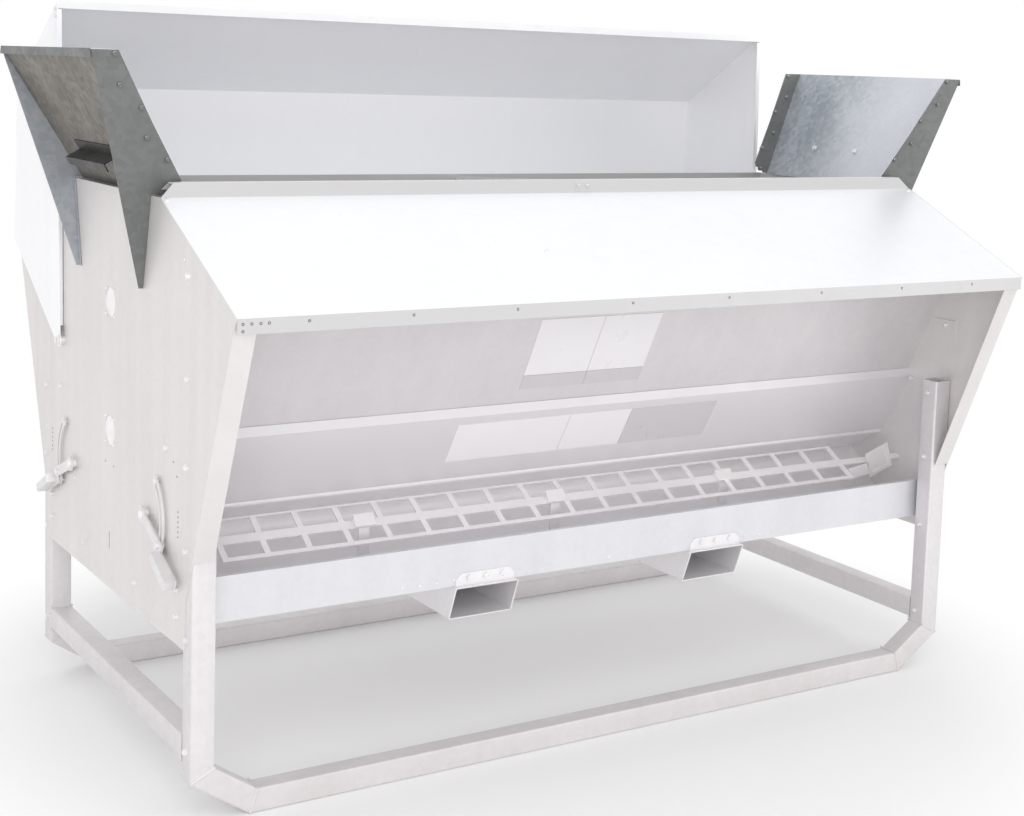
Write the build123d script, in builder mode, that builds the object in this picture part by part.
from build123d import *
import math
import os

# A calf creep feeder: a sheet-steel hopper on two tube hoops, with a trough along each long side,
# a ridge-shaped lid that swings up, and flared extensions at both ends of the hopper's mouth.
# X runs along the feeder, the front faces -Y, and the origin is on the ground below its middle.
# Most sections are drawn by their distance out from the middle, "out", and their height.

os.makedirs("parts", exist_ok=True)

# The frame of square tube
LENGTH = 2400
WIDTH = 1180
TUBE = 60
TUBE_WALL = 4
LEG_TOP = 887
CORNER_RUN = 150
CORNER_RISE = 100
RAIL_Z = 172

# The sheet-metal body
SHEET = 3
PANEL = 2
PLATE_OUT = 550
PLATE_FOOT = 412
EAVE_OUT = 840
EAVE_Z = 1234
EAVE_DROP = 35
MOUTH_OUT = 364
MOUTH_Z = 1454
RIM_Z = 1488
RIM_OUT = 352
RIM_LIP_OUT = 320
RIM_LIP_Z = 1470
REAR_LIP = 26
WING_FOOT_Z = 621
WING_FLANGE = 50
WINDOW_HEIGHTS = (826, 1158)
WINDOW_RADIUS = 40
WINDOW_LAP = 15
SLOT_Y = 2
SLOT_Z = (515, 560)
SLOT_WIDTH = 5
WING_TAB = (508, 596)
LOW_TAB_Z = (1000, 1070)
HIGH_TAB_Z = 1275
BRACE_SHEET = 6
BRACE_DEPTH = 14
BRACE_DROP = 4

# The hopper, the troughs and the grids over them
WALL_LEAN = 0.52
WALL_FOOT_OUT = 302.8
WALL_FOOT_Z = 700
WALL_TOP_Z = 1326
CREEP_GAP = 15.8
CREEP_FIT = 0.2
CREEP_FOOT_Z = 690
CREEP_TOP_Z = 872
CREEP_FLANGE_Z = 896
TROUGH_OUT = 513
TROUGH_FLOOR = 455
TROUGH_TOP = 567
TROUGH_HEM = 15
RIDGE_Z = 740
RIDGE_FOOT_OUT = 330
GRID_FRONT = (439, 577)
GRID_TOP = (320, 651)
GRID_X = (-1065, 965)
GRID_COLUMNS = 18
GRID_BAR = 16
GRID_ROWS = ((12, 55), (82, 134))
GRID_PLATE = 4
GRID_END_BAR = 21
GRID_POSTS = (-663, -81, 504)
POST_WIDTH = 30
POST_SHEET = 6

# Fork pockets below the trough
POCKET_X = 376
POCKET_WIDTH = 190
POCKET_FOOT = 360
POCKET_WALL = 4
POCKET_TOP_OUT = 530
POCKET_FOOT_OUT = 493
POCKET_RADIUS = 8
POCKET_TAB = 32
POCKET_BOLTS = (-50, 0, 50)
POCKET_BOLT_Z = 475

# Bolt heads, and where they sit on the end plates
HEAD_RADIUS = 7.5
HEAD_HEIGHT = 6.9
END_BOLTS = ((498, 546), (498, 481), (204, 481), (422, 868), (556, 652), (556, 849), (556, 1055), (556, 1292))
ODD_BOLT = (-171, 1315)

# The lid, swung open about its two bolts
PIVOT = (400, 1000)
PIVOT_RADIUS = 6
PIVOT_EAR = 18
PIVOT_SPACER = 12
PIVOT_WASHER = 14
PIVOT_WASHER_SHEET = 2
PIVOT_HEAD = 10.5
PIVOT_HEAD_HEIGHT = 7
PIVOT_SLACK = 0.5
GABLE_GAP = 11
LID_TIP = (415, 1923)
LID_RIDGE = (815, 1685)
LID_TAIL = (840, 1236)
LID_LIP = 20
LID_LIP_LEAN = 2
GABLE_FLANGE = 9.5
GABLE_FLANGE_FOOT = 1040

# The flared extensions at the ends of the mouth
FLARE_SHEET = 2.5
FLARE_INNER = (-93, 1454.5)
FLARE_TOP = (114, 1797)
FLARE_SHELF = 63
FLARE_LIP = 19
FLARE_HALF = 304.6
FLARE_SPREAD = 0.235
FLARE_BASE_Z = 1450
FLARE_FLANGE = 70
GUSSET_CORNER = ((-55, 1488), (-36, 1458))
FANG_TIP_Z = 1225
FANG_TIP = 10
FANG_EDGE = 4
FANG_FLANGE = 15
GUSSET_FIT = 0.4

# The feed flaps and their levers
SHAFT = (290, 678)
SHAFT_RADIUS = 10.5
SHAFT_FIT = 0.06
FLAP_DEPTH = 118
FLAP_DROP = 35
FLAP_END_GAP = 10
SHAFT_STUB = 12
QUADRANT_RADIUS = 126
QUADRANT_OFF = 6
QUADRANT_SHEET = 4
QUADRANT_WIDTH = 26
QUADRANT_SLOT = 11
QUADRANT_ENDS = (29, -48)
QUADRANT_LAP = 8
QUADRANT_STANDS = (33, -52)
STAND_RADIUS = 5
LEVER_OFF = 11
LEVER_SHEET = 5
LEVER_WIDTH = 28
LEVER_BEND = ((140, 22), (140, 30), (258, 27))
HUB_RADIUS = 20
LOCK_ANGLE = 23
LOCK_RADIUS = 4.5
LOCK_HEAD_RADIUS = 9
LOCK_HEAD = 5

HALF = LENGTH / 2
HALF_WIDTH = WIDTH / 2
ROOF_SLOPE = (MOUTH_Z - EAVE_Z) / (EAVE_OUT - MOUTH_OUT)
WING_SLOPE = (EAVE_Z - WING_FOOT_Z) / (EAVE_OUT - HALF_WIDTH)
SIDES = {"front": -1, "rear": 1}
ENDS = {"left": -1, "right": 1}


def save(name, piece):
    """Name a finished piece and write its file."""
    piece.part.label = name
    export_step(piece.part, f"parts/{name}.step")


def beside(points, distance):
    """The corners of a line that runs to the left of another at a distance."""
    normals = []
    for (y0, z0), (y1, z1) in zip(points, points[1:]):
        run = math.hypot(y1 - y0, z1 - z0)
        normals.append(((z0 - z1) / run, (y1 - y0) / run))
    corners = []
    for i, (y, z) in enumerate(points):
        before = normals[max(i - 1, 0)]
        after = normals[min(i, len(normals) - 1)]
        reach = distance / (1 + before[0] * after[0] + before[1] * after[1])
        corners.append((y + (before[0] + after[0]) * reach, z + (before[1] + after[1]) * reach))
    return corners


def fold(points, thickness=SHEET):
    """The closed section of a folded sheet, from the corners of one of its faces."""
    return points + beside(points, thickness)[::-1]


def long_piece(outline, side, start=-HALF, length=LENGTH):
    """A piece of one section along X, drawn on the rear side and mirrored for the front."""
    with BuildPart() as piece:
        with BuildSketch(Plane.YZ.offset(start)):
            with BuildLine():
                Polyline(*[(side * out, z) for out, z in outline], close=True)
            make_face()
        extrude(amount=length)
    return piece


def roof_top(out):
    """The height of the roof's upper face at a distance from the middle."""
    return EAVE_Z + ROOF_SLOPE * (EAVE_OUT - out)


def roof_under(out):
    """The height of the roof's lower face."""
    return roof_top(out) - SHEET * math.hypot(1, ROOF_SLOPE)


def wing_edge(z):
    """How far out the cheek's front edge is at a height."""
    return HALF_WIDTH + (z - WING_FOOT_Z) / WING_SLOPE


def wall_out(z):
    """How far out the hopper wall's creep-side face is at a height."""
    return WALL_FOOT_OUT + WALL_LEAN * (z - WALL_FOOT_Z)


def grid_under(out):
    """The height of the grid's lower face at a distance from the middle."""
    slope = (GRID_TOP[1] - GRID_FRONT[1]) / (GRID_FRONT[0] - GRID_TOP[0])
    return GRID_FRONT[1] + slope * (GRID_FRONT[0] - out) - GRID_PLATE * math.hypot(1, slope)


# The hoops: one square tube each, mitred down one leg, along the ground and up the other
leg_x = HALF - TUBE / 2
foot = [(-HALF, LEG_TOP), (-HALF, CORNER_RISE), (CORNER_RUN - HALF, 0)]
foot += [(-x, z) for x, z in reversed(foot)]
for name, side in SIDES.items():
    y = side * (HALF_WIDTH - TUBE / 2)
    with BuildPart() as hoop:
        with BuildLine() as run:
            Polyline(*[(x, y, z) for x, z in beside(foot, TUBE / 2)])
        with BuildSketch(Plane((-leg_x, y, LEG_TOP), x_dir=(1, 0, 0), z_dir=(0, 0, -1))):
            Rectangle(TUBE, TUBE)
            Rectangle(TUBE - 2 * TUBE_WALL, TUBE - 2 * TUBE_WALL, mode=Mode.SUBTRACT)
        sweep(transition=Transition.RIGHT)
    save(f"{name}_hoop", hoop)

# The low rails between the hoops
for name, end in ENDS.items():
    with BuildPart() as rail:
        with BuildSketch(Plane((end * leg_x, 0, RAIL_Z), x_dir=(1, 0, 0), z_dir=(0, 1, 0))):
            Rectangle(TUBE, TUBE)
            Rectangle(TUBE - 2 * TUBE_WALL, TUBE - 2 * TUBE_WALL, mode=Mode.SUBTRACT)
        extrude(amount=HALF_WIDTH - TUBE, both=True)
    save(f"{name}_side_rail", rail)

# The end plates, house-shaped, with two round windows and a hole for each flap's shaft
gable = [(PLATE_OUT, PLATE_FOOT), (PLATE_OUT, roof_top(PLATE_OUT)), (MOUTH_OUT, MOUTH_Z)]
gable += [(-out, z) for out, z in reversed(gable)]
for name, end in ENDS.items():
    with BuildPart() as plate:
        with BuildSketch(Plane.YZ.offset(end * HALF)):
            with BuildLine():
                Polyline(*gable, close=True)
            make_face()
            with Locations(*[(0, z) for z in WINDOW_HEIGHTS]):
                Circle(WINDOW_RADIUS, mode=Mode.SUBTRACT)
            with Locations((SHAFT[0], SHAFT[1]), (-SHAFT[0], SHAFT[1])):
                Circle(SHAFT_RADIUS + SHAFT_FIT, mode=Mode.SUBTRACT)
            with Locations((end * SLOT_Y, (SLOT_Z[0] + SLOT_Z[1]) / 2)):
                Rectangle(SLOT_WIDTH, SLOT_Z[1] - SLOT_Z[0], mode=Mode.SUBTRACT)
        extrude(amount=end * SHEET)
    save(f"{name}_end_plate", plate)

    with BuildPart() as windows:
        with BuildSketch(Plane.YZ.offset(end * HALF)):
            with Locations(*[(0, z) for z in WINDOW_HEIGHTS]):
                Circle(WINDOW_RADIUS + WINDOW_LAP)
        extrude(amount=-end * SHEET)
    save(f"{name}_windows", windows)

# The triangular cheeks, each with a flange turned in along its sloping edge and two joint tabs
wing = [(PLATE_OUT, WING_FOOT_Z - WING_SLOPE * (HALF_WIDTH - PLATE_OUT))]
wing += [(EAVE_OUT, EAVE_Z), (PLATE_OUT, roof_top(PLATE_OUT))]
flange_foot = WING_FOOT_Z + 11
flange_top = EAVE_Z - SHEET * WING_SLOPE
flange_depth = SHEET * math.hypot(1, 1 / WING_SLOPE)
flange = [(wing_edge(flange_foot), flange_foot), (wing_edge(flange_top), flange_top)]
flange += [(out - flange_depth, z) for out, z in reversed(flange)]
low_tab = [(out, LOW_TAB_Z[0]) for out in WING_TAB] + [(out, LOW_TAB_Z[1]) for out in reversed(WING_TAB)]
high_tab = [(out, HIGH_TAB_Z) for out in WING_TAB] + [(out, roof_under(out)) for out in reversed(WING_TAB)]
tabs = (low_tab, high_tab)
for side_name, side in SIDES.items():
    for end_name, end in ENDS.items():
        with BuildPart() as cheek:
            for outline, depth in [(wing, SHEET), (flange, -WING_FLANGE)] + [(tab, -SHEET) for tab in tabs]:
                with BuildSketch(Plane.YZ.offset(end * HALF)):
                    with BuildLine():
                        Polyline(*[(side * out, z) for out, z in outline], close=True)
                    make_face()
                extrude(amount=end * depth)
        save(f"{side_name}_{end_name}_wing", cheek)

# The roofs: a down-turned eave, a slope, and a rim at the mouth that is raised only in front
slope = [(EAVE_OUT, EAVE_Z - EAVE_DROP), (EAVE_OUT, EAVE_Z), (MOUTH_OUT, MOUTH_Z)]
rim = [(RIM_OUT, RIM_Z), (RIM_LIP_OUT, RIM_Z), (RIM_LIP_OUT, RIM_LIP_Z)]
with BuildPart() as front_roof:
    add(long_piece(fold(slope + rim), SIDES["front"]).part)
    for end in ENDS.values():
        with BuildSketch(Plane.XZ.offset(RIM_LIP_OUT - SHEET)):
            with BuildLine():
                cut = HALF - RIM_Z + MOUTH_Z
                Polyline((end * HALF, MOUTH_Z), (end * HALF, RIM_Z), (end * cut, RIM_Z), close=True)
            make_face()
        extrude(amount=EAVE_OUT - RIM_LIP_OUT, mode=Mode.SUBTRACT)
save("front_roof", front_roof)
save("rear_roof", long_piece(fold(slope + [(MOUTH_OUT, MOUTH_Z - REAR_LIP)]), SIDES["rear"]))

# The brace across the mouth, from the front rim down to the rear lip
brace_front = RIM_Z - BRACE_DROP
brace_rear = MOUTH_Z - SHEET - BRACE_DROP
brace = [(-RIM_LIP_OUT, brace_front), (-RIM_LIP_OUT, brace_front - BRACE_DEPTH)]
brace += [(MOUTH_OUT, brace_rear - BRACE_DEPTH), (MOUTH_OUT, brace_rear)]
save("mouth_brace", long_piece(brace, 1, start=-BRACE_SHEET / 2, length=BRACE_SHEET))

# The inclined hopper walls and the stiffening panel over the lower part of each
panel_start = WALL_FOOT_Z + SHEET
for name, side in SIDES.items():
    wall = fold([(WALL_FOOT_OUT, WALL_FOOT_Z), (wall_out(WALL_TOP_Z), WALL_TOP_Z)])
    save(f"{name}_hopper_wall", long_piece(wall, side))
    panel = [(wall_out(panel_start) + PANEL + CREEP_FIT, panel_start)]
    panel += [(wall_out(z) + CREEP_GAP, z) for z in (CREEP_FOOT_Z, CREEP_TOP_Z)]
    panel += [(wall_out(CREEP_FLANGE_Z), CREEP_FLANGE_Z)]
    save(f"{name}_creep_panel", long_piece(fold(panel, -PANEL), side))

# The trough: one floor, an apron along each side, and the ridge that parts the feed
floor_out = TROUGH_OUT - SHEET
floor_top = TROUGH_FLOOR + SHEET
floor = [(floor_out, TROUGH_FLOOR), (floor_out, floor_top)]
floor += [(-out, z) for out, z in reversed(floor)]
save("trough_floor", long_piece(floor, 1))
apron = [(TROUGH_OUT, TROUGH_FLOOR), (TROUGH_OUT, TROUGH_TOP), (TROUGH_OUT - TROUGH_HEM, TROUGH_TOP)]
for name, side in SIDES.items():
    save(f"{name}_apron", long_piece(fold(apron), side))
ridge_foot = (RIDGE_FOOT_OUT, floor_top + SHEET)
save("feed_ridge", long_piece(fold([ridge_foot, (0, RIDGE_Z), (-ridge_foot[0], ridge_foot[1])]), 1))

# The ladder grids: a plate with two rows of openings, tilted over each trough
grid_length = GRID_X[1] - GRID_X[0]
grid_middle = (GRID_X[0] + GRID_X[1]) / 2
grid_depth = math.hypot(GRID_FRONT[0] - GRID_TOP[0], GRID_TOP[1] - GRID_FRONT[1])
grid_pitch = (grid_length - GRID_BAR) / GRID_COLUMNS
rise = (GRID_FRONT[0] - GRID_TOP[0], GRID_TOP[1] - GRID_FRONT[1])
for name, side in SIDES.items():
    facing = Vector(0, -side * rise[0], rise[1]).cross(Vector(side, 0, 0))
    tilt = Plane((0, side * GRID_FRONT[0], GRID_FRONT[1]), x_dir=(-side, 0, 0), z_dir=facing)
    with BuildPart() as grid:
        with BuildSketch(tilt):
            with Locations((-side * grid_middle, grid_depth / 2)):
                Rectangle(grid_length, grid_depth)
            for low, high in GRID_ROWS:
                with Locations((-side * grid_middle, (low + high) / 2)):
                    with GridLocations(grid_pitch, 1, GRID_COLUMNS, 1):
                        Rectangle(grid_pitch - GRID_BAR, high - low, mode=Mode.SUBTRACT)
        extrude(amount=-GRID_PLATE)
    save(f"{name}_ladder_grid", grid)

    with BuildPart() as ends:
        with BuildSketch(tilt):
            for start, stop in ((-HALF, GRID_X[0]), (GRID_X[1], HALF)):
                with Locations((-side * (start + stop) / 2, (GRID_ROWS[0][1] + GRID_ROWS[1][0]) / 2)):
                    Rectangle(stop - start, GRID_END_BAR)
        extrude(amount=-GRID_PLATE)
    save(f"{name}_grid_end_bars", ends)

    with BuildPart() as posts:
        bar_middle = (GRID_ROWS[0][1] + GRID_ROWS[1][0]) / 2
        bar_out = GRID_FRONT[0] - rise[0] * bar_middle / grid_depth
        faces = (bar_out - POST_SHEET / 2, bar_out + POST_SHEET / 2)
        outline = [(out, floor_top) for out in reversed(faces)] + [(out, grid_under(out)) for out in faces]
        for x in GRID_POSTS:
            with BuildSketch(Plane.YZ.offset(x - POST_WIDTH / 2)):
                with BuildLine():
                    Polyline(*[(side * out, z) for out, z in outline], close=True)
                make_face()
            extrude(amount=POST_WIDTH)
    save(f"{name}_grid_posts", posts)

# The fork pockets: box channels with slanting mouths and a bolted tab on each apron
pocket_top = TROUGH_FLOOR
pocket_middle = (pocket_top + POCKET_FOOT) / 2
for name, end in ENDS.items():
    x = end * POCKET_X
    with BuildPart() as pocket:
        with BuildSketch(Plane.YZ.offset(x - POCKET_WIDTH / 2)):
            with BuildLine():
                corners = [(POCKET_TOP_OUT, pocket_top), (POCKET_FOOT_OUT, POCKET_FOOT)]
                Polyline(*(corners + [(-out, z) for out, z in reversed(corners)]), close=True)
            make_face()
        extrude(amount=POCKET_WIDTH)
        fillet(pocket.edges().filter_by(Axis.Y), radius=POCKET_RADIUS)
        with BuildSketch(Plane.XZ.offset(-HALF_WIDTH)):
            with Locations((x, pocket_middle)):
                Rectangle(POCKET_WIDTH - 2 * POCKET_WALL, pocket_top - POCKET_FOOT - 2 * POCKET_WALL)
        extrude(amount=WIDTH, mode=Mode.SUBTRACT)
        for side in SIDES.values():
            with BuildSketch(Plane.XZ.offset(-side * TROUGH_OUT)):
                with BuildLine():
                    reach = POCKET_WIDTH / 2 - POCKET_RADIUS
                    tab = [(reach, 0), (reach, POCKET_TAB / 2), (reach - POCKET_TAB / 2, POCKET_TAB)]
                    tab += [(-u, v) for u, v in reversed(tab)]
                    Polyline(*[(x + u, pocket_top + v) for u, v in tab], close=True)
                make_face()
            extrude(amount=-side * SHEET)
    save(f"{name}_fork_pocket", pocket)


def bolt_heads(plane, places):
    """Hexagon heads that stand on a plane, at places in its own directions."""
    with BuildPart() as bolts:
        with BuildSketch(plane):
            with Locations(*places):
                RegularPolygon(HEAD_RADIUS, 6)
        extrude(amount=HEAD_HEIGHT)
    return bolts


with BuildPart() as pocket_bolts:
    for side in SIDES.values():
        face = Plane((0, side * (TROUGH_OUT + SHEET), 0), x_dir=(-side, 0, 0), z_dir=(0, side, 0))
        spots = [(end * POCKET_X + u, POCKET_BOLT_Z) for end in ENDS.values() for u in POCKET_BOLTS]
        add(bolt_heads(face, spots).part)
save("pocket_bolts", pocket_bolts)

for name, end in ENDS.items():
    face = Plane((end * (HALF + SHEET), 0, 0), x_dir=(0, end, 0), z_dir=(end, 0, 0))
    spots = [(side * out, z) for out, z in END_BOLTS for side in SIDES.values()]
    spots.append((end * ODD_BOLT[0], ODD_BOLT[1]))
    save(f"{name}_end_bolts", bolt_heads(face, spots))

# The lid: one sheet folded at the ridge, with a hemmed tip, between two gable plates
tip_lip = (LID_TIP[0] + LID_LIP_LEAN, LID_TIP[1] - LID_LIP)
gable_face = HALF + SHEET + GABLE_GAP
shell = long_piece(fold([LID_TAIL, LID_RIDGE, LID_TIP, tip_lip]), 1, start=-gable_face, length=2 * gable_face)
save("lid_shell", shell)
for name, end in ENDS.items():
    with BuildPart() as side_plate:
        with BuildSketch(Plane.YZ.offset(end * gable_face)):
            with BuildLine():
                ear = CenterArc(PIVOT, PIVOT_EAR, 120, 180)
                Polyline(ear @ 0, LID_TIP, LID_RIDGE, LID_TAIL, ear @ 1)
            make_face()
            with Locations(PIVOT):
                Circle(PIVOT_RADIUS + SHAFT_FIT, mode=Mode.SUBTRACT)
        extrude(amount=end * SHEET)
        with BuildSketch(Plane.YZ.offset(end * gable_face)):
            with BuildLine():
                tip_z = LID_TIP[1] - LID_LIP - SHEET
                front = [(PIVOT[0] + 1, GABLE_FLANGE_FOOT), (LID_TIP[0], tip_z)]
                Polyline(*fold(front, -SHEET), close=True)
            make_face()
        extrude(amount=-end * GABLE_FLANGE)
    save(f"lid_{name}_gable", side_plate)

# The lid's two pivot bolts, each with a spacer against the end plate
with BuildPart() as pivots:
    for end in ENDS.values():
        plate_face = end * (HALF + SHEET)
        washer = GABLE_GAP + SHEET + PIVOT_SLACK
        for radius, start, depth in (
            (PIVOT_SPACER, 0, GABLE_GAP - PIVOT_SLACK),
            (PIVOT_RADIUS, GABLE_GAP - PIVOT_SLACK, SHEET + 2 * PIVOT_SLACK),
            (PIVOT_WASHER, washer, PIVOT_WASHER_SHEET),
        ):
            with BuildSketch(Plane.YZ.offset(plate_face + end * start)):
                with Locations(PIVOT):
                    Circle(radius)
            extrude(amount=end * depth)
        with BuildSketch(Plane.YZ.offset(plate_face + end * (washer + PIVOT_WASHER_SHEET))):
            with Locations(PIVOT):
                RegularPolygon(PIVOT_HEAD, 6)
        extrude(amount=end * PIVOT_HEAD_HEIGHT)
save("lid_pivot_bolts", pivots)

# The extensions: a sheet that leans out over the end, and a gusset with a long fang each side
flare_slope = (FLARE_TOP[0] - FLARE_INNER[0]) / (FLARE_TOP[1] - FLARE_INNER[1])
flare_turn = math.hypot(1, flare_slope)
flare_foot = FLARE_INNER[0] + FLARE_SHEET * flare_turn


def flare_under(z):
    """How far beyond the legs the sheet's lower face is at a height."""
    return flare_foot + flare_slope * (z - FLARE_INNER[1])


gusset_rise = math.hypot(1, FLARE_SPREAD)
gusset_out = FLARE_HALF - FLARE_SHEET * gusset_rise
shelf = FLARE_TOP[0] + FLARE_SHELF
gusset_top = FLARE_TOP[1] - FLARE_SHEET * (1 + FLARE_SPREAD) - GUSSET_FIT
gusset_foot = FLARE_INNER[1] + FLARE_SHEET + GUSSET_FIT
for name, end in ENDS.items():
    webs = []
    for side in SIDES.values():
        up = Vector(0, side * FLARE_SPREAD, 1)
        along = Vector(end, 0, 0)
        corner = (end * HALF, side * gusset_out, FLARE_BASE_Z)
        webs.append(Plane(corner, x_dir=along, z_dir=along.cross(up)))

    with BuildPart() as flare:
        with BuildSketch(Plane.XZ.offset(-HALF_WIDTH)):
            with BuildLine():
                path = [(SHEET, FLARE_INNER[1]), FLARE_INNER, FLARE_TOP]
                path += [(shelf, FLARE_TOP[1]), (shelf, FLARE_TOP[1] - FLARE_LIP)]
                Polyline(*[(end * (HALF + a), z) for a, z in fold(path, -FLARE_SHEET)], close=True)
            make_face()
        extrude(amount=WIDTH)
        with BuildSketch(Plane.YZ.offset(end * HALF)):
            with BuildLine():
                heights = (FLARE_BASE_Z, FLARE_TOP[1])
                edge = [(FLARE_HALF + FLARE_SPREAD * (z - FLARE_BASE_Z), z) for z in heights]
                Polyline(*(edge + [(-y, z) for y, z in reversed(edge)]), close=True)
            make_face()
        extrude(amount=2 * FLARE_TOP[0], both=True, mode=Mode.INTERSECT)
        for side, web in zip(SIDES.values(), webs):
            low_z = FLARE_INNER[1] + FLARE_SHEET / 2
            high_z = FLARE_TOP[1] - FLARE_SHEET
            band = [(flare_under(z) - FLARE_SHEET / 2, z) for z in (low_z, high_z)]
            band.append((shelf - FLARE_SHEET, high_z))
            band += [(flare_under(z) + FLARE_FLANGE, z) for z in (FLARE_TOP[1] - FLARE_LIP, low_z)]
            with BuildSketch(web.offset(-GUSSET_FIT * end * side)):
                with BuildLine():
                    Polyline(*[(a, (z - FLARE_BASE_Z) * gusset_rise) for a, z in band], close=True)
                make_face()
            extrude(amount=-FLARE_SHEET * end * side)
    save(f"{name}_extension_sheet", flare)

    for (side_name, side), web in zip(SIDES.items(), webs):
        corners = [(flare_under(z) + GUSSET_FIT, z) for z in (GUSSET_CORNER[0][1], gusset_top)]
        corners += [(shelf - FLARE_SHEET - GUSSET_FIT, gusset_top), (FANG_EDGE + FANG_TIP, FANG_TIP_Z)]
        corners += [(FANG_EDGE, FANG_TIP_Z), (FANG_EDGE, gusset_foot), (GUSSET_CORNER[1][0], gusset_foot)]
        corners.append(GUSSET_CORNER[0])
        with BuildPart() as gusset:
            with BuildSketch(web):
                with BuildLine():
                    Polyline(*[(a, (z - FLARE_BASE_Z) * gusset_rise) for a, z in corners], close=True)
                make_face()
            extrude(amount=FLARE_SHEET * end * side)
            with BuildSketch(Plane.YZ.offset(end * (HALF + FANG_EDGE))):
                with BuildLine():
                    low_z = FLARE_INNER[1] - GUSSET_FIT
                    fang = [(gusset_out + FLARE_SPREAD * (z - FLARE_BASE_Z), z) for z in (low_z, FANG_TIP_Z)]
                    fang += [(out - FANG_FLANGE, z) for out, z in reversed(fang)]
                    Polyline(*[(side * out, z) for out, z in fang], close=True)
                make_face()
            extrude(amount=end * FLARE_SHEET)
        save(f"{name}_extension_{side_name}_gusset", gusset)

# The feed flaps: a shaft under each hopper wall with a plate that hangs in the throat
for name, side in SIDES.items():
    with BuildPart() as flap:
        lever_end = HALF + SHEET + LEVER_OFF + LEVER_SHEET + SHEET
        with BuildSketch(Plane.YZ.offset(-lever_end)):
            with Locations((side * SHAFT[0], SHAFT[1])):
                Circle(SHAFT_RADIUS)
        extrude(amount=lever_end + HALF + SHEET + SHAFT_STUB)
        with BuildSketch(Plane.YZ.offset(FLAP_END_GAP - HALF)):
            with BuildLine():
                drop = math.radians(FLAP_DROP)
                tip = (SHAFT[0] - FLAP_DEPTH * math.cos(drop), SHAFT[1] - FLAP_DEPTH * math.sin(drop))
                Polyline(*[(side * out, z) for out, z in fold([SHAFT, tip])], close=True)
            make_face()
        extrude(amount=LENGTH - 2 * FLAP_END_GAP)
    save(f"{name}_feed_flap", flap)

# The levers at the left end, each with a slotted quadrant that its lock bolt clamps on
for name, side in SIDES.items():
    hub = (side * SHAFT[0], SHAFT[1])
    inner_face = HALF + SHEET

    def around(radius, degrees):
        """A place at a radius from the shaft, by its angle below the horizontal, outwards."""
        turn = math.radians(degrees)
        return (hub[0] + side * radius * math.cos(turn), hub[1] - radius * math.sin(turn))

    with BuildPart() as quadrant:
        with BuildSketch(Plane.YZ.offset(-inner_face - QUADRANT_OFF)):
            band = (QUADRANT_WIDTH, QUADRANT_LAP, Mode.ADD)
            slot = (QUADRANT_SLOT, 0, Mode.SUBTRACT)
            for width, lap, mode in (band, slot):
                with BuildLine():
                    low, high = QUADRANT_ENDS[0] + lap, QUADRANT_ENDS[1] - lap
                    ThreePointArc(*[around(QUADRANT_RADIUS, a) for a in (low, (low + high) / 2, high)])
                trace(line_width=width, mode=mode)
        extrude(amount=-QUADRANT_SHEET)
        with BuildSketch(Plane.YZ.offset(-inner_face)):
            with Locations(*[around(QUADRANT_RADIUS, a) for a in QUADRANT_STANDS]):
                Circle(STAND_RADIUS)
        extrude(amount=-QUADRANT_OFF - QUADRANT_SHEET)
    save(f"{name}_quadrant", quadrant)

    with BuildPart() as lever:
        with BuildSketch(Plane.YZ.offset(-inner_face - LEVER_OFF)):
            with BuildLine():
                Polyline(hub, *[around(*bend) for bend in LEVER_BEND])
            trace(line_width=LEVER_WIDTH)
            with Locations(hub):
                Circle(HUB_RADIUS)
                Circle(SHAFT_RADIUS, mode=Mode.SUBTRACT)
        extrude(amount=-LEVER_SHEET)
    save(f"{name}_lever", lever)

    with BuildPart() as lock:
        spot = around(QUADRANT_RADIUS, LOCK_ANGLE)
        nut = QUADRANT_OFF - LOCK_HEAD - PIVOT_SLACK
        for radius, start, stop in (
            (LOCK_HEAD_RADIUS, nut, nut + LOCK_HEAD),
            (LOCK_RADIUS, nut + LOCK_HEAD, LEVER_OFF),
            (LOCK_HEAD_RADIUS, LEVER_OFF + LEVER_SHEET, LEVER_OFF + LEVER_SHEET + LOCK_HEAD),
        ):
            with BuildSketch(Plane.YZ.offset(-inner_face - start)):
                with Locations(spot):
                    Circle(radius)
            extrude(amount=start - stop)
    save(f"{name}_lever_lock", lock)
